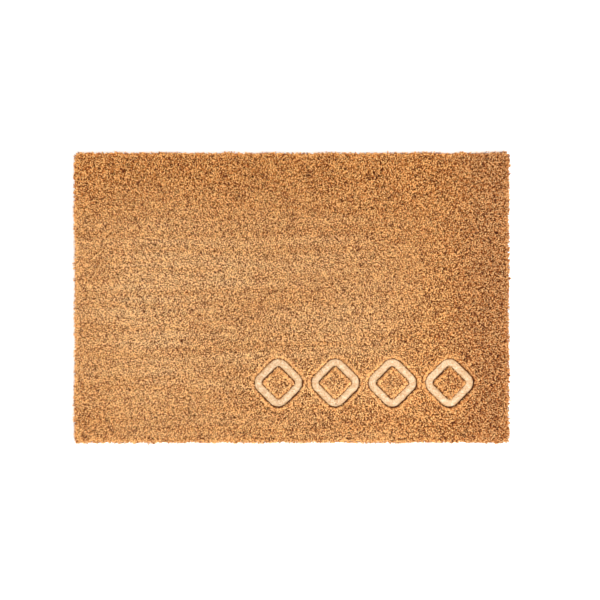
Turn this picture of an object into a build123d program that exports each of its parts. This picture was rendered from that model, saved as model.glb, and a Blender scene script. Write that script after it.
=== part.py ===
from build123d import *
import os

# A pressed coir door mat, in millimetres. The origin is at the middle of the underside,
# +X runs along the long side, +Y towards the far long side and +Z up, out of the pile.
#
# The mat is a layered sheet: a PVC backing, the coir pile that stands in it, and a row of
# lozenge outlines where a heated tool has pressed the pile down into a hard, fused skin.

# The whole mat
MAT_LENGTH = 600.0
MAT_WIDTH = 400.0
MAT_HEIGHT = 15.0
CORNER_RADIUS = 4.0

# Layers, from the floor up
BACKING_THICKNESS = 2.5
SKIN_THICKNESS = 3.5
SKIN_TOP = BACKING_THICKNESS + SKIN_THICKNESS
PILE_EDGE_ROUNDING = 1.5

# The row of lozenges pressed into the pile. A lozenge is a rounded square that stands on
# one corner, and its span is the distance over two opposite rounded corners.
LOZENGE_COUNT = 4
LOZENGE_SPAN = 68.0
LOZENGE_GAP = 11.0
LOZENGE_ROUNDING = 16.0
LOZENGE_SIDE = (LOZENGE_SPAN + 2 * LOZENGE_ROUNDING * (2**0.5 - 1)) / 2**0.5
ROW_CENTRE_X = 100.0
ROW_CENTRE_Y = -118.0

# The pressed stroke: a flat skin between two banks of pile that lean away from it
STROKE_WIDTH = 12.0
BANK_ANGLE = 19.0


def lozenge_outline(inset):
    """A lozenge face, set in by `inset` from the outer outline."""
    side = LOZENGE_SIDE - 2 * inset
    return Rot(0, 0, 45) * RectangleRounded(side, side, LOZENGE_ROUNDING - inset)


def standing_on(face, height):
    """The same face, lifted to `height` above the underside."""
    return Plane.XY.offset(height) * face


def lozenge_places():
    """The middle of each lozenge, from left to right."""
    pitch = LOZENGE_SPAN + LOZENGE_GAP
    first = ROW_CENTRE_X - pitch * (LOZENGE_COUNT - 1) / 2
    return [Pos(first + pitch * index, ROW_CENTRE_Y, 0) for index in range(LOZENGE_COUNT)]


def sheet(bottom, top):
    """A full-size layer of the mat between two heights."""
    outline = RectangleRounded(MAT_LENGTH, MAT_WIDTH, CORNER_RADIUS)
    return extrude(standing_on(outline, bottom), top - bottom)


def pressed_skin():
    """The hard outline of one lozenge, lying on the backing."""
    stroke = lozenge_outline(0) - lozenge_outline(STROKE_WIDTH)
    return extrude(standing_on(stroke, BACKING_THICKNESS), SKIN_THICKNESS)


def pile_opening():
    """The space that one lozenge takes out of the pile, wider towards the top."""
    outer = lozenge_outline(0)
    foot = extrude(standing_on(outer, BACKING_THICKNESS), SKIN_THICKNESS)
    mouth = extrude(standing_on(outer, SKIN_TOP), MAT_HEIGHT - SKIN_TOP, taper=-BANK_ANGLE)
    return foot + mouth


def pile_centre():
    """The pile left standing inside one lozenge, narrower towards the top."""
    inner = lozenge_outline(STROKE_WIDTH)
    foot = extrude(standing_on(inner, BACKING_THICKNESS), SKIN_THICKNESS)
    crown = extrude(standing_on(inner, SKIN_TOP), MAT_HEIGHT - SKIN_TOP, taper=BANK_ANGLE)
    return foot + crown


def pile_field():
    """All the pile around the lozenges, with a rounded upper edge along the mat's border."""
    field = sheet(BACKING_THICKNESS, MAT_HEIGHT)
    border = field.faces().sort_by(Axis.Z)[-1].edges()
    field = fillet(border, PILE_EDGE_ROUNDING)
    for place in lozenge_places():
        field -= place * pile_opening()
    return field


def mat_nodes():
    """Every piece of the mat by name."""
    nodes = {
        "backing_sheet": sheet(0, BACKING_THICKNESS),
        "pile_field": pile_field(),
    }
    for number, place in enumerate(lozenge_places(), start=1):
        nodes[f"lozenge_skin_{number}"] = place * pressed_skin()
        nodes[f"lozenge_centre_{number}"] = place * pile_centre()
    return nodes


os.makedirs("parts", exist_ok=True)
for name, solid in mat_nodes().items():
    export_step(solid, f"parts/{name}.step")
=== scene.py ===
import math

import bmesh
import bpy
import numpy as np
from mathutils import Matrix, Vector, noise


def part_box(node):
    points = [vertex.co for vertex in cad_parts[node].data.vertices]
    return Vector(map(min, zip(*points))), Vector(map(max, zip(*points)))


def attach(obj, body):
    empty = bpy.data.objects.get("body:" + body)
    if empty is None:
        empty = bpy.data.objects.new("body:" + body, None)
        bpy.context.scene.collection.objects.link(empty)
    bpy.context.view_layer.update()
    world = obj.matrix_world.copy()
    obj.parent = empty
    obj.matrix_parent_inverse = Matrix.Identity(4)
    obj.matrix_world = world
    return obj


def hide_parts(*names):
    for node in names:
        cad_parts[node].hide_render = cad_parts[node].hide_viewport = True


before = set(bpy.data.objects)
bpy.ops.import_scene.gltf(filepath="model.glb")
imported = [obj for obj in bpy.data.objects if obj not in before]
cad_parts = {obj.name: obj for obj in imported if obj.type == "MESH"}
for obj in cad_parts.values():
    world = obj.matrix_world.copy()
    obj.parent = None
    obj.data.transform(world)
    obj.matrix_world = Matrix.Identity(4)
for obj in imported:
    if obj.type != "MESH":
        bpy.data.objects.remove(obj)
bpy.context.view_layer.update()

# A pressed coir door mat. The pile is made of tufts, each a small bunch of cut fibres that
# leans its own way over a core coloured with the painted shade of the deep pile. Along the
# pressed lozenges the tufts get shorter and lean back, over a bank of matted fibre that slopes
# down to a hard, fused skin.

MM = 0.001

# Both the random draws and the smooth noise are seeded, so that every run gives the same mat.
SEED = 41
noise.seed_set(SEED)

# ---------------------------------------------------------------- sizes taken from the frame
BODY = "root"
BACKING_LOW, BACKING_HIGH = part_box("backing_sheet")
FIELD_LOW, FIELD_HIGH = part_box("pile_field")
SKINS = sorted(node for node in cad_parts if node.startswith("lozenge_skin_"))
CENTRES = sorted(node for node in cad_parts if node.startswith("lozenge_centre_"))

HALF_LENGTH = FIELD_HIGH.x
HALF_WIDTH = FIELD_HIGH.y
PILE_TOP = FIELD_HIGH.z
PILE_FOOT = BACKING_HIGH.z
SKIN_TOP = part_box(SKINS[0])[1].z


def span(node):
    """The length of a node along X."""
    low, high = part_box(node)
    return high.x - low.x


def middle(node):
    """The middle of a node, seen from above."""
    low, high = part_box(node)
    return ((low + high) / 2).xy


LOZENGE_SPAN = span(SKINS[0])
STROKE_WIDTH = (LOZENGE_SPAN - span(CENTRES[0])) / 2
LOZENGE_ROUNDING = 16 * MM
LOZENGE_HALF_SIDE = (LOZENGE_SPAN / 2 + LOZENGE_ROUNDING * (2**0.5 - 1)) / 2**0.5
CORNER_ROUNDING = 4 * MM
TURN = np.array([[1, -1], [1, 1]]) / 2**0.5

# ------------------------------------------------------------------------ sizes of the looks
# The dark core and the matted banks along the strokes
CORE_TOP = 9.0 * MM
CORE_INSET = 3.2 * MM
CORE_UNDER_BANK = 1.0 * MM
BANK_REACH = 3.6 * MM

# A fibre and a tuft. Lengths are shares of the tuft's height, and the power says how rare
# the short fibres are.
FIBRES_PER_TUFT = 4
FIBRE_RADIUS = 0.70 * MM
FIBRE_TAPER = 0.95
FIBRE_LONGEST = 1.04
FIBRE_SHORTENING = 0.58
FIBRE_SHORTENING_POWER = 2.3
TUFT_RADIUS = 1.15 * MM
TUFT_SPLAY = 1.9 * MM
TUFT_KINDS = 30

# The tufts of the field
TUFT_PITCH = 2.38 * MM
ROW_PITCH = TUFT_PITCH * 0.866
TUFT_FOOT = 7.0 * MM
FIELD_INSET = 5.2 * MM
FIELD_STRIPS = 9
FIELD_LEAN = 1.0 * MM
FLOW_FEATURE = 9 * MM
BARE_SHARE = 0.02

# The tufts on the banks
BANK_ROWS = (0.5 * MM, 1.5 * MM, 2.5 * MM)
BANK_PITCH = 1.6 * MM
BANK_LEAN = 2.2 * MM
BANK_DROP = 3.5 * MM

# The tufts along the border
BORDER_ROWS = (1.0 * MM, 2.6 * MM, 4.2 * MM)
BORDER_PITCH = 1.8 * MM
BORDER_WANDER = 1.3 * MM
ROOT_DEPTH = 0.3 * MM

# The camera and the lights, in metres and watts
CAMERA_LENS = 60
CAMERA_SENSOR = 36
VIEW_WIDTH = 0.8268
VIEW_MIDDLE = (0.0114, -0.0031)
WARM_WHITE = (1.0, 0.95, 0.88)
WORLD_STRENGTH = 0.55
FLOOR_RADIUS = 6


# ============================================================================ shader writing
class Signal:
    """A shader socket that takes part in arithmetic."""

    def __init__(self, shader, socket):
        self.shader = shader
        self.socket = socket

    def _math(self, operation, first, second=0.0):
        settings = {"operation": operation}
        return self.shader.node("ShaderNodeMath", settings, {0: first, 1: second})

    def __add__(self, other):
        return self._math("ADD", self, other)

    def __sub__(self, other):
        return self._math("SUBTRACT", self, other)

    def __rsub__(self, other):
        return self._math("SUBTRACT", other, self)

    def __mul__(self, other):
        return self._math("MULTIPLY", self, other)

    def __abs__(self):
        return self._math("ABSOLUTE", self)

    __rmul__ = __mul__

    def ramp(self, low, high, start=0.0, end=1.0):
        """Goes smoothly from start to end while this value goes from low to high."""
        settings = {"interpolation_type": "SMOOTHSTEP"}
        values = {"Value": self, "From Min": low, "From Max": high, "To Min": start, "To Max": end}
        return self.shader.node("ShaderNodeMapRange", settings, values)


class Shader:
    """A procedural material around one Principled shader."""

    def __init__(self, name, **constants):
        self.material = bpy.data.materials.new(name)
        self.material.use_nodes = True
        self.tree = self.material.node_tree
        self.principled = self.tree.nodes["Principled BSDF"]
        for socket, value in constants.items():
            self.principled.inputs[socket.replace("_", " ")].default_value = value
        self.place = self.node("ShaderNodeTexCoord", output="Object")

    def node(self, kind, settings=None, values=None, output=0):
        """Adds a node: its settings first, then the values or links of its sockets."""
        node = self.tree.nodes.new(kind)
        for setting, value in (settings or {}).items():
            setattr(node, setting, value)
        for socket, value in (values or {}).items():
            if isinstance(value, Signal):
                self.tree.links.new(value.socket, node.inputs[socket])
            else:
                node.inputs[socket].default_value = value
        return Signal(self, node.outputs[output])

    def attribute(self, name):
        """A value stored on the points of the mesh."""
        return self.node("ShaderNodeAttribute", {"attribute_name": name}, output="Fac")

    def axis(self, name):
        """One coordinate of the place on the object, in metres."""
        return self.node("ShaderNodeSeparateXYZ", None, {"Vector": self.place}, output=name)

    def stretched(self, share):
        """The place with X shortened, so that patterns on it run out lengthwise."""
        values = {0: self.place, 1: (share, 1, 1)}
        return self.node("ShaderNodeVectorMath", {"operation": "MULTIPLY"}, values)

    def noise(self, feature, detail=2.0, roughness=0.5, place=None):
        """Noise whose blobs are about `feature` metres across."""
        values = {
            "Vector": place or self.place,
            "Scale": 1 / feature,
            "Detail": detail,
            "Roughness": roughness,
        }
        return self.node("ShaderNodeTexNoise", None, values)

    def pebbles(self, feature):
        """Round cells about `feature` metres across, as the distance from their middles."""
        values = {"Vector": self.place, "Scale": 1 / feature}
        return self.node("ShaderNodeTexVoronoi", None, values, output="Distance")

    def mix(self, factor, first, second, blend="MIX"):
        """A mix of two colours."""
        settings = {"data_type": "RGBA", "blend_type": blend}
        return self.node("ShaderNodeMix", settings, {0: factor, 6: first, 7: second}, output=2)

    def bump(self, height, distance):
        """A surface direction that follows `height`, up to `distance` metres deep."""
        values = {"Height": height, "Distance": distance, "Strength": 1.0}
        return self.node("ShaderNodeBump", None, values)

    def finish(self, **sockets):
        """Links signals to the sockets of the Principled shader."""
        for socket, signal in sockets.items():
            self.tree.links.new(signal.socket, self.principled.inputs[socket.replace("_", " ")])
        return self.material


def rgba(red, green, blue):
    """An sRGB colour, given from 0 to 255, as the linear colour that a shader takes."""
    linear = [((c / 255 + 0.055) / 1.055) ** 2.4 for c in (red, green, blue)]
    return (*linear, 1.0)


# ================================================================================= materials
def coir_material():
    """Cut coconut fibre in brown to golden tones, darkened towards the root as painted shade deep in
    the pile; paler left of the middle, darker along the top and the right end.
    """
    shader = Shader("coir_fibre", Roughness=0.75)
    up = shader.attribute("up")
    tone = shader.attribute("tone")
    shaft = shader.mix(tone, rgba(110, 46, 8), rgba(228, 146, 66))
    brown_tip = shader.mix(tone.ramp(0.0, 0.45), rgba(116, 50, 10), rgba(226, 140, 56))
    tip = shader.mix(tone.ramp(0.3, 0.85), brown_tip, rgba(255, 214, 142))
    # Painted shade: each fibre darkens towards its root, deep in the pile.
    root_shaded = shader.mix(up.ramp(0.2, 0.7), rgba(76, 28, 4), shaft)
    body = shader.mix(up.ramp(0.75, 1.0), root_shaded, tip)
    paleness = pale_patch(shader)
    pale_share = 0.75 * paleness * tone.ramp(0.0, 0.6, 0.3, 1.0) * up.ramp(0.6, 1.0)
    paled = shader.mix(pale_share, body, rgba(255, 220, 164))
    dimmed = shader.mix(1 - paleness, paled, rgba(246, 240, 234), "MULTIPLY")
    # Darker towards the right end.
    right_end = shader.axis("X").ramp(0.19, 0.28)
    colour = shader.mix(right_end, dimmed, rgba(237, 236, 250), "MULTIPLY")
    return shader.finish(Base_Color=colour)


def pale_patch(shader):
    """How pale the pile is: most left of the middle, least along top and right."""
    east = shader.axis("X")
    north = shader.axis("Y")
    from_top = north.ramp(0.19, 0.04)
    to_bottom = north.ramp(-0.20, -0.05, 0.6, 1.0)
    from_left = east.ramp(-0.32, -0.20, 0.55, 1.0)
    to_right = east.ramp(-0.20, 0.05, 1.0, 0.70) * east.ramp(0.05, 0.31, 1.0, 0.0)
    cloud = shader.noise(0.09, detail=3.0).ramp(0.3, 0.7, 0.8, 1.1)
    rows = shader.noise(0.012, place=shader.stretched(0.06)).ramp(0.3, 0.7, 0.6, 1.2)
    return from_top * to_bottom * from_left * to_right * cloud * rows


def core_material():
    """The shaded depth of the pile between the tufts."""
    shader = Shader("pile_depth", Roughness=0.9)
    grain = shader.noise(2 * MM, detail=3.0)
    colour = shader.mix(grain, rgba(52, 18, 2), rgba(104, 46, 8))
    return shader.finish(Base_Color=colour, Normal=shader.bump(grain, 1 * MM))


def bank_material():
    """Matted fibre that slopes down to the pressed skin: dark at its foot as scorch and as painted
    shade in the crease, and dark at its top as painted shade under the tufts.
    """
    shader = Shader("matted_bank", Roughness=0.65)
    across = shader.attribute("across")
    grain = shader.noise(1.1 * MM, detail=4.0, roughness=0.65)
    slope = shader.mix(grain.ramp(0.35, 0.65), rgba(140, 78, 28), rgba(214, 144, 72))
    # Dark at the foot: partly scorch, partly painted shade in the crease.
    scorched_and_shaded = shader.mix(across.ramp(0.0, 0.3), rgba(84, 42, 16), slope)
    # Dark from the crest on, where the tufts stand over it: painted shade.
    colour = shader.mix(across.ramp(0.7, 1.0), scorched_and_shaded, rgba(104, 56, 22))
    return shader.finish(Base_Color=colour, Normal=shader.bump(grain, 0.8 * MM))


def skin_material():
    """Fibre and PVC fused under the hot tool: cream, flecked, cracked, brown along its edges as
    scorch and as painted shade in the creases.
    """
    shader = Shader("fused_skin", Roughness=0.5)
    across = shader.attribute("across")
    mottle = shader.noise(5 * MM, detail=4.0, roughness=0.6)
    grain = shader.noise(1.5 * MM, detail=3.0, roughness=0.6)
    cream = shader.mix(mottle.ramp(0.35, 0.65), rgba(184, 156, 116), rgba(206, 188, 156))
    grained = shader.mix(grain.ramp(0.42, 0.66, 0.0, 0.9), cream, rgba(170, 116, 62))
    patches = shader.noise(12 * MM, detail=1.0).ramp(0.4, 0.6)
    strands = abs(shader.noise(4 * MM, detail=1.5) - 0.5).ramp(0.0, 0.02) + patches
    stranded = shader.mix(strands.ramp(0.0, 1.0, 0.6, 0.0), grained, rgba(150, 92, 44))
    breaks = shader.noise(17 * MM, detail=1.0).ramp(0.5, 0.62, 0.05, 0.0)
    cracks = (abs(shader.noise(15 * MM, detail=4.0) - 0.5) + breaks).ramp(0.0, 0.01)
    cracked = shader.mix(cracks, rgba(120, 66, 28), stranded)
    edge_wander = across + 0.08 * (shader.noise(3 * MM) - 0.5)
    off_creases = edge_wander.ramp(0.03, 0.14) * edge_wander.ramp(0.97, 0.86)
    # Brown along both creases: partly scorch, partly painted shade.
    colour = shader.mix(off_creases, rgba(148, 74, 20), cracked)
    relief = mottle * 0.6 + grain * 0.25 + cracks * 0.5
    return shader.finish(Base_Color=colour, Normal=shader.bump(relief, 0.8 * MM))


def backing_material():
    """Matt beige PVC with a fine pebbled grain."""
    shader = Shader("pvc_backing", Roughness=0.6)
    pebbles = shader.pebbles(1.6 * MM)
    cloud = shader.noise(0.05, detail=3.0)
    colour = shader.mix(cloud, rgba(196, 164, 122), rgba(222, 194, 152))
    speckled = shader.mix(pebbles.ramp(0.1, 0.6, 0.25, 0.0), colour, rgba(140, 108, 74))
    return shader.finish(Base_Color=speckled, Normal=shader.bump(pebbles, 0.25 * MM))


def floor_material():
    """A plain, nearly white floor that glows a little, so that shadows stay soft."""
    shader = Shader("studio_floor", Roughness=0.9, Emission_Strength=0.2)
    shader.principled.inputs["Emission Color"].default_value = (1, 1, 1, 1)
    cloud = shader.noise(1.5, detail=1.0)
    colour = shader.mix(cloud, rgba(247, 247, 247), rgba(252, 252, 252))
    return shader.finish(Base_Color=colour)


# ============================================================================ lofted outlines
def rounded_outline(half, rounding, inset, arc_steps=10, side_steps=15):
    """Points around a rounded rectangle, set in from its outline, anticlockwise."""
    radius = max(rounding - inset, 0.3 * MM)
    reach = np.array(half) - inset - radius
    arcs = []
    for quarter, corner in enumerate(((1, 1), (-1, 1), (-1, -1), (1, -1))):
        turns = (quarter + np.linspace(0, 1, arc_steps + 1)) * math.pi / 2
        arcs.append(reach * corner + radius * np.column_stack([np.cos(turns), np.sin(turns)]))
    share = np.arange(side_steps)[:, None] / side_steps
    points = []
    for arc, following in zip(arcs, arcs[1:] + arcs[:1]):
        points += [arc[:-1], arc[-1] + share * (following[0] - arc[-1])]
    return np.concatenate(points)


def mat_outline(inset):
    """Points around the mat."""
    half = (HALF_LENGTH, HALF_WIDTH)
    return rounded_outline(half, CORNER_ROUNDING, inset, arc_steps=6, side_steps=60)


def lozenge_outline(skin, inset):
    """Points around one lozenge: a rounded square that stands on a corner."""
    half = (LOZENGE_HALF_SIDE, LOZENGE_HALF_SIDE)
    return rounded_outline(half, LOZENGE_ROUNDING, inset) @ TURN.T + np.array(middle(skin))


def ring(bm, outline, height):
    """A closed loop of edges along an outline."""
    verts = bmesh.ops.create_circle(bm, segments=len(outline), radius=1)["verts"]
    for vert, (x, y) in zip(verts, outline):
        vert.co = (x, y, height)


def face_outwards(bm):
    """Turns the faces of a closed shape to one side, and that side to the outside."""
    bmesh.ops.recalc_face_normals(bm, faces=bm.faces)
    if bm.calc_volume(signed=True) < 0:
        bmesh.ops.reverse_faces(bm, faces=bm.faces)


def stacked_rings(bm, count, sides):
    """Circles one above another, each as its vertices and its edges."""
    rings = []
    for level in range(count):
        above = Matrix.Translation((0, 0, level))
        verts = bmesh.ops.create_circle(bm, segments=sides, radius=1, matrix=above)["verts"]
        edges = list(dict.fromkeys(edge for vert in verts for edge in vert.link_edges))
        rings.append((verts, edges))
    return rings


def loft(bm, sections, closed):
    """A surface through (outline, height) sections, closed into a loop or capped at both ends.

    The rings are joined while they still stand clear of each other: between two rings in one
    plane the bridge could run either way round. Only then do they move to their sections.
    """
    rings = stacked_rings(bm, len(sections), len(sections[0][0]))
    pairs = list(zip(rings, rings[1:]))
    if closed:
        pairs.append((rings[-1], rings[0]))
    for (_, first), (_, second) in pairs:
        bmesh.ops.bridge_loops(bm, edges=first + second)
    if not closed:
        for _, edges in (rings[0], rings[-1]):
            bmesh.ops.contextual_create(bm, geom=edges)
    for (verts, _), (outline, height) in zip(rings, sections):
        for vert, (x, y) in zip(verts, outline):
            vert.co = (x, y, height)
    face_outwards(bm)
    return [verts for verts, _ in rings]


def lofted_lozenge(skin, profile, closed, start, reach):
    """A loft through (inset, height) steps; `across` goes from 0 at `start` to 1 over `reach`."""
    bm = bmesh.new()
    across = bm.verts.layers.float.new("across")
    sections = [(lozenge_outline(skin, inset), height) for inset, height in profile]
    for (inset, _), verts in zip(profile, loft(bm, sections, closed)):
        for vert in verts:
            vert[across] = (inset - start) / reach
    return bm


def wander(bm, feature, reach, rise=0.0):
    """Moves vertices sideways and up by smooth noise, so that nothing is machine-straight."""
    for vert in bm.verts:
        drift = noise.noise_vector(vert.co / feature)
        vert.co += Vector((drift.x * reach, drift.y * reach, drift.z * rise))


# ==================================================================================== pieces
def finished(name, mesh, material, nodes):
    """Puts a finished mesh into the scene as a piece that stands for CAD nodes."""
    mesh.materials.append(material)
    mesh.shade_smooth()
    piece = bpy.data.objects.new(name, mesh)
    bpy.context.scene.collection.objects.link(piece)
    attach(piece, BODY)
    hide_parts(*nodes)
    return piece


def mesh_of(bm, name):
    """Turns an edit mesh into a mesh, and frees it."""
    mesh = bpy.data.meshes.new(name)
    bm.to_mesh(mesh)
    bm.free()
    return mesh


def make_backing(material):
    """The PVC sheet, its cut edges a little uneven and its rims softened.

    The plane margins keep the shading of the softened rims off the flat faces.
    """
    bm = bmesh.new()
    thickness = PILE_FOOT - BACKING_LOW.z
    softening = 0.5 * MM
    margin = 3 * MM
    profile = [
        (margin, BACKING_LOW.z),
        (softening, BACKING_LOW.z),
        (0, BACKING_LOW.z + softening),
        (0, BACKING_LOW.z + thickness - softening),
        (softening, BACKING_LOW.z + thickness),
        (margin, BACKING_LOW.z + thickness),
    ]
    loft(bm, [(mat_outline(inset), height) for inset, height in profile], closed=False)
    wander(bm, 40 * MM, 0.5 * MM)
    return finished("backing", mesh_of(bm, "backing"), material, ["backing_sheet"])


def make_core(material):
    """The dense lower pile, coloured with painted shade: a plate with a lozenge hole under each
    pressed figure.
    """
    bm = bmesh.new()
    ring(bm, mat_outline(CORE_INSET), PILE_FOOT)
    for skin in SKINS:
        ring(bm, lozenge_outline(skin, CORE_UNDER_BANK - BANK_REACH), PILE_FOOT)
    bmesh.ops.triangle_fill(bm, use_beauty=True, edges=bm.edges)
    raised = bmesh.ops.extrude_face_region(bm, geom=bm.faces)["geom"]
    raised_verts = [item for item in raised if isinstance(item, bmesh.types.BMVert)]
    bmesh.ops.translate(bm, verts=raised_verts, vec=(0, 0, CORE_TOP - PILE_FOOT))
    face_outwards(bm)
    return finished("pile_core", mesh_of(bm, "pile_core"), material, ["pile_field"])


def bank_profile(outline, reach):
    """Steps of a bank's slope: (inset, height), climbing over `reach` from an outline."""
    depth = PILE_TOP - SKIN_TOP
    steps = [
        (-0.05, -0.15),
        (0.02, 0.05),
        (0.25, 0.22),
        (0.50, 0.38),
        (0.80, 0.50),
        (1.05, 0.48),
        (1.25, 0.33),
    ]
    return [(outline + reach * x, SKIN_TOP + depth * y) for x, y in steps]


def make_bank(number, skin, material):
    """The matted slope around a pressed lozenge."""
    profile = bank_profile(0, -BANK_REACH)
    foot = [(profile[-1][0], PILE_FOOT), (profile[0][0], PILE_FOOT)]
    bm = lofted_lozenge(skin, profile + foot, True, start=0, reach=-BANK_REACH)
    wander(bm, 6 * MM, 0.4 * MM, 0.6 * MM)
    name = f"outer_bank_{number}"
    return finished(name, mesh_of(bm, name), material, ["pile_field"])


def make_centre_core(number, skin, centre, material):
    """The mound inside a pressed lozenge: a matted slope all round a top painted dark as shade under
    the tufts.
    """
    profile = [(STROKE_WIDTH - 0.05 * BANK_REACH, PILE_FOOT)]
    profile += bank_profile(STROKE_WIDTH, BANK_REACH)
    bm = lofted_lozenge(skin, profile, False, start=STROKE_WIDTH, reach=BANK_REACH)
    wander(bm, 6 * MM, 0.4 * MM, 0.6 * MM)
    name = f"centre_core_{number}"
    return finished(name, mesh_of(bm, name), material, [centre])


def make_skin(number, skin, material):
    """The fused stroke of one lozenge, slightly domed between its two creases."""
    rise = 1.0 * MM
    half_dome = [(0.0, -1.8), (0.03, -0.7), (0.08, 0.15), (0.16, 0.6), (0.3, 0.88)]
    dome = half_dome + [(0.5, 1.0)] + [(1 - x, y) for x, y in reversed(half_dome)]
    profile = [(STROKE_WIDTH * x, SKIN_TOP + rise * (y - 0.6)) for x, y in dome]
    profile += [(STROKE_WIDTH, PILE_FOOT), (0.0, PILE_FOOT)]
    bm = lofted_lozenge(skin, profile, True, start=0, reach=STROKE_WIDTH)
    wander(bm, 7 * MM, 0.45 * MM, 0.35 * MM)
    name = f"fused_skin_{number}"
    return finished(name, mesh_of(bm, name), material, [skin])


# ===================================================================================== tufts
def tuft_kind(rng):
    """One tuft: blunt three-sided fibres that splay from a common foot, of unit height."""
    bm = bmesh.new()
    up = bm.verts.layers.float.new("up")
    tone = bm.verts.layers.float.new("tone")
    column = bm.verts.layers.float.new("column")
    for index in range(FIBRES_PER_TUFT):
        made = bmesh.ops.create_cone(
            bm,
            cap_ends=True,
            segments=3,
            radius1=FIBRE_RADIUS,
            radius2=FIBRE_TAPER * FIBRE_RADIUS,
            depth=1,
        )["verts"]
        around = 2 * math.pi * (index + rng.uniform(-0.3, 0.3)) / FIBRES_PER_TUFT
        root = Vector((math.cos(around), math.sin(around), 0)) * TUFT_RADIUS * rng.uniform(0.75, 1.0)
        away = rng.uniform(0, 2 * math.pi)
        splay = Vector((math.cos(away), math.sin(away), 0)) * TUFT_SPLAY * rng.uniform(0, 1)
        length = FIBRE_LONGEST - FIBRE_SHORTENING * rng.uniform(0, 1) ** FIBRE_SHORTENING_POWER
        thickness = rng.uniform(0.75, 1.25)
        fibre_tone = rng.uniform(0, 1)
        turn = Matrix.Rotation(rng.uniform(0, 2 * math.pi), 3, "Z")
        bmesh.ops.rotate(bm, verts=made, matrix=turn)
        bmesh.ops.scale(bm, verts=made, vec=(thickness, thickness, 1))
        bmesh.ops.translate(bm, verts=made, vec=(0, 0, 0.5))
        for corner, vert in enumerate(made):
            vert[up] = vert.co.z
            vert[tone] = fibre_tone
            vert[column] = (index + 0.15 + 0.35 * (corner % 3)) / FIBRES_PER_TUFT
            vert.co += root + splay * vert.co.z
            vert.co.z *= length
    bm.verts.index_update()
    facts = [[*v.co, v[up], v[tone], v[column]] for v in bm.verts]
    faces = [[v.index for v in face.verts] for face in bm.faces]
    bm.free()
    return np.array(facts), faces


class Tufts:
    """All kinds of tuft as arrays, ready to be copied by the thousand."""

    def __init__(self, rng):
        kinds = [tuft_kind(rng) for _ in range(TUFT_KINDS)]
        facts = np.stack([facts for facts, _ in kinds])
        faces = kinds[0][1]
        self.shape = facts[..., :3]
        self.up = facts[..., 3]
        self.tone = facts[..., 4]
        self.column = facts[..., 5]
        self.corners = np.concatenate(faces)
        self.starts = np.cumsum([0] + [len(face) for face in faces[:-1]])

    def planted(self, name, plants):
        """One mesh with a tuft at every plant."""
        count = len(plants["foot"])
        kind = plants["kind"]
        shape = self.shape[kind]
        up = shape[..., 2]
        cosine = np.cos(plants["spin"])[:, None]
        sine = np.sin(plants["spin"])[:, None]
        x = shape[..., 0] * cosine - shape[..., 1] * sine
        y = shape[..., 0] * sine + shape[..., 1] * cosine
        across = np.stack([x, y], -1) * plants["width"][:, None, None]
        across += plants["foot"][:, None, :2] + plants["lean"][:, None] * up[..., None]
        height = plants["foot"][:, 2, None] + plants["height"][:, None] * up
        points = np.concatenate([across, height[..., None]], -1)

        mesh = bpy.data.meshes.new(name)
        verts = shape.shape[1]
        step = np.arange(count)[:, None]
        corners = (self.corners + step * verts).ravel()
        mesh.vertices.add(count * verts)
        mesh.loops.add(count * len(self.corners))
        mesh.polygons.add(count * len(self.starts))
        mesh.vertices.foreach_set("co", points.ravel())
        mesh.polygons.foreach_set("loop_start", (self.starts + step * len(self.corners)).ravel())
        mesh.polygons.foreach_set("vertices", corners)
        mesh.update(calc_edges=True)

        tone = np.clip(self.tone[kind] + plants["tone"][:, None], 0, 1)
        self.store(mesh, "up", self.up[kind])
        self.store(mesh, "tone", tone)
        self.lay_out(mesh, count, kind, corners)
        return mesh

    def store(self, mesh, name, values):
        """Keeps one value per point on a mesh, for the shader."""
        layer = mesh.attributes.new(name, "FLOAT", "POINT")
        layer.data.foreach_set("value", values.ravel().astype(np.float32))

    def lay_out(self, mesh, count, kind, corners):
        """A cell of its own for each tuft in the map that the colours are baked to."""
        cells = math.ceil(math.sqrt(count))
        step = np.arange(count)[:, None]
        across = (step % cells + 0.06 + 0.88 * self.column[kind]) / cells
        upward = (step // cells + 0.12 + 0.76 * self.up[kind]) / cells
        spots = np.stack([across, upward], -1).reshape(-1, 2)
        layer = mesh.uv_layers.new(name="OFBake")
        layer.data.foreach_set("uv", spots[corners].ravel().astype(np.float32))


def beyond_outline(points, skin):
    """How far points lie outside a lozenge's outer outline; negative inside it."""
    turned = (points - np.array(middle(skin))) @ TURN
    reach = np.abs(turned) - (LOZENGE_HALF_SIDE - LOZENGE_ROUNDING)
    outside = np.linalg.norm(np.maximum(reach, 0), axis=1)
    return outside + np.minimum(reach.max(axis=1), 0) - LOZENGE_ROUNDING


def from_stroke(points):
    """How far points lie from the nearest pressed stroke, negative on it."""
    beyond = np.stack([beyond_outline(points, skin) for skin in SKINS])
    return np.abs(beyond + STROKE_WIDTH / 2).min(axis=0) - STROKE_WIDTH / 2


def from_border(points):
    """How far points lie inside the mat's straight edges."""
    return (np.array([HALF_LENGTH, HALF_WIDTH]) - np.abs(points)).min(axis=1)


def uphill(field, points):
    """The direction in which a distance grows fastest."""
    step = 0.2 * MM
    slopes = [
        field(points + shift) - field(points - shift)
        for shift in (np.array([step, 0]), np.array([0, step]))
    ]
    slope = np.stack(slopes, -1)
    return slope / np.maximum(np.linalg.norm(slope, axis=1, keepdims=True), 1e-9)


def flow(points, feature):
    """A smooth random direction field, so that neighbouring tufts lie together."""
    return np.array([noise.noise_vector(Vector((x, y, 0)) / feature).xy for x, y in points])


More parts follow.
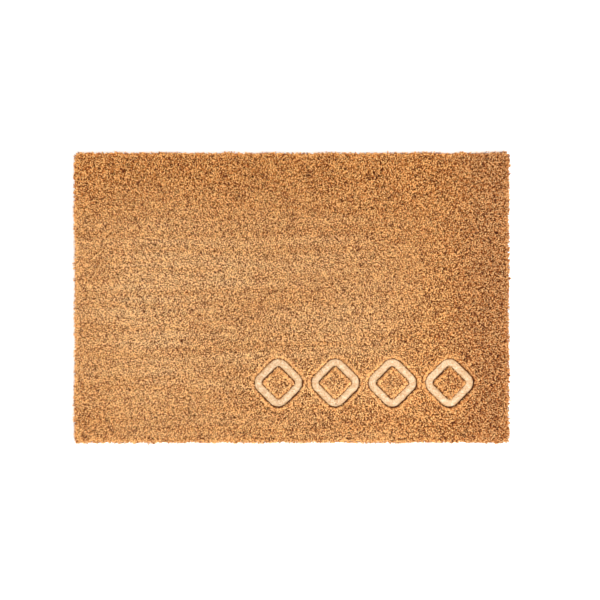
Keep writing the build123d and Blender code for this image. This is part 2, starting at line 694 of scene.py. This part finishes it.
def sown(rng):
    """Tuft feet on a jittered triangular grid over the whole mat."""
    rows = int(2 * HALF_WIDTH / ROW_PITCH)
    columns = int(2 * HALF_LENGTH / TUFT_PITCH)
    row, column = np.mgrid[0:rows, 0:columns]
    x = (column + 0.5 * (row % 2) + 0.25) * TUFT_PITCH - HALF_LENGTH
    y = (row + 0.5) * ROW_PITCH - HALF_WIDTH
    points = np.stack([x.ravel(), y.ravel()], -1)
    return points + rng.normal(0, 0.15 * TUFT_PITCH, points.shape)


def plants(rng, points, foot, top, lean):
    """Everything that the tufts at some points need."""
    count = len(points)
    level = np.full(count, foot)
    return {
        "foot": np.column_stack([points, level]),
        "height": top - level,
        "lean": lean,
        "width": rng.uniform(0.85, 1.15, count),
        "spin": rng.uniform(0, 2 * math.pi, count),
        "kind": rng.integers(0, TUFT_KINDS, count),
        "tone": rng.normal(0.0, 0.08, count),
    }


def chosen(all_plants, which):
    """Some of the plants."""
    return {name: values[which] for name, values in all_plants.items()}


def joined(*groups):
    """Groups of plants as one."""
    return {name: np.concatenate([group[name] for group in groups]) for name in groups[0]}


def field_plants(rng):
    """The tufts of the field and of the lozenge centres, away from the border and the banks."""
    points = sown(rng)
    in_field = (from_border(points) > FIELD_INSET) & (from_stroke(points) > BANK_ROWS[-1])
    points = points[in_field & (rng.random(len(points)) > BARE_SHARE)]
    lean = flow(points, FLOW_FEATURE) * FIELD_LEAN + rng.normal(0, 0.35 * MM, points.shape)
    top = PILE_TOP + rng.normal(-0.5 * MM, 0.5 * MM, len(points))
    return plants(rng, points, TUFT_FOOT, top, lean)


def bank_plants(rng):
    """Close rows of tufts along both sides of the strokes, pressed away and shorter near them."""
    insets = [inset for gap in BANK_ROWS for inset in (-gap, STROKE_WIDTH + gap)]
    rows = [walked(lozenge_outline(skin, inset), BANK_PITCH) for skin in SKINS for inset in insets]
    points = np.concatenate(rows)
    points += rng.normal(0, 0.2 * MM, points.shape)
    down_bank = np.clip(1 - from_stroke(points) / BANK_REACH, 0, 1)
    lean = uphill(from_stroke, points) * down_bank[:, None] * BANK_LEAN
    lean += rng.normal(0, 0.4 * MM, points.shape)
    top = PILE_TOP + rng.normal(-0.6 * MM, 0.4 * MM, len(points)) - down_bank**1.5 * BANK_DROP
    return plants(rng, points, SKIN_TOP + ROOT_DEPTH, top, lean)


def border_plants(rng):
    """Close rows of tufts along the border, from the backing up, leaning a little outwards."""
    rows = [walked(mat_outline(inset), BORDER_PITCH) for inset in BORDER_ROWS]
    points = np.concatenate(rows)
    outward = -uphill(from_border, points)
    points += outward * flow(points, 14 * MM)[:, :1] * BORDER_WANDER
    points += rng.normal(0, 0.25 * MM, points.shape)
    share = 1 - from_border(points)[:, None] / FIELD_INSET
    lean = outward * share * rng.uniform(0.1, 0.8, (len(points), 1)) * MM
    lean += rng.normal(0, 0.45 * MM, points.shape)
    top = PILE_TOP + rng.normal(-0.7 * MM, 0.5 * MM, len(points))
    return plants(rng, points, PILE_FOOT - ROOT_DEPTH, top, lean)


def walked(outline, pitch):
    """Evenly spaced points around a closed outline."""
    line = np.concatenate([outline, outline[:1]])
    walk = np.concatenate([[0], np.cumsum(np.linalg.norm(np.diff(line, axis=0), axis=1))])
    stops = np.linspace(0, walk[-1], int(walk[-1] / pitch), endpoint=False)
    return np.column_stack([np.interp(stops, walk, line[:, axis]) for axis in (0, 1)])


def make_pile(material):
    """All tufts: one piece in each lozenge, strips of the field, and the border."""
    rng = np.random.default_rng(SEED)
    tufts = Tufts(rng)
    field = joined(field_plants(rng), bank_plants(rng))
    spots = field["foot"][:, :2]
    inside = np.stack([beyond_outline(spots, skin) < -STROKE_WIDTH for skin in SKINS])
    outside = np.flatnonzero(~inside.any(axis=0))
    by_row = outside[np.argsort(spots[outside, 1], kind="stable")]

    groups = []
    for number, (mask, centre) in enumerate(zip(inside, CENTRES), start=1):
        groups.append((f"centre_tufts_{number}", chosen(field, mask), centre))
    for number, strip in enumerate(np.array_split(by_row, FIELD_STRIPS), start=1):
        groups.append((f"pile_strip_{number}", chosen(field, strip), "pile_field"))
    groups.append(("border_tufts", border_plants(rng), "pile_field"))

    pieces = []
    for name, group, node in groups:
        mesh = tufts.planted(name, group)
        pieces.append(finished(name, mesh, material, [node]))
    return pieces


# ==================================================================== camera, lights, stage
def make_camera():
    """Straight above the mat, looking down, with +Y up in the picture."""
    camera = bpy.data.objects.new("camera", bpy.data.cameras.new("camera"))
    camera.data.lens = CAMERA_LENS
    camera.data.sensor_width = CAMERA_SENSOR
    distance = VIEW_WIDTH * CAMERA_LENS / CAMERA_SENSOR
    camera.location = (*VIEW_MIDDLE, PILE_TOP + distance)
    bpy.context.scene.collection.objects.link(camera)
    bpy.context.scene.camera = camera


def make_light(name, place, size, power):
    """A warm, square softbox that looks at the mat."""
    light = bpy.data.lights.new(name, "AREA")
    light.size = size
    light.energy = power
    light.color = WARM_WHITE
    lamp = bpy.data.objects.new(name, light)
    lamp.location = place
    lamp.rotation_euler = (-Vector(place)).to_track_quat("-Z", "Y").to_euler()
    bpy.context.scene.collection.objects.link(lamp)


def make_stage():
    """The floor and the even light of the room."""
    bm = bmesh.new()
    bmesh.ops.create_circle(bm, cap_ends=True, segments=64, radius=FLOOR_RADIUS)
    floor = bpy.data.objects.new("studio_floor", mesh_of(bm, "studio_floor"))
    floor.data.materials.append(floor_material())
    bpy.context.scene.collection.objects.link(floor)
    world = bpy.data.worlds.new("studio_light")
    world.use_nodes = True
    background = world.node_tree.nodes["Background"]
    background.inputs["Color"].default_value = (1, 1, 1, 1)
    background.inputs["Strength"].default_value = WORLD_STRENGTH
    bpy.context.scene.world = world
    bpy.context.scene.view_settings.view_transform = "Standard"


make_camera()
make_stage()
make_light("key", place=(0.6, -0.6, 1.7), size=0.6, power=28)
make_light("overhead", place=(0.15, -0.15, 2.4), size=1.2, power=34)

pile = make_pile(coir_material())
core = make_core(core_material())
bank = bank_material()
skin_finish = skin_material()
for number, (skin, centre) in enumerate(zip(SKINS, CENTRES), start=1):
    make_bank(number, skin, bank)
    make_centre_core(number, skin, centre, bank)
    make_skin(number, skin, skin_finish)
backing = make_backing(backing_material())
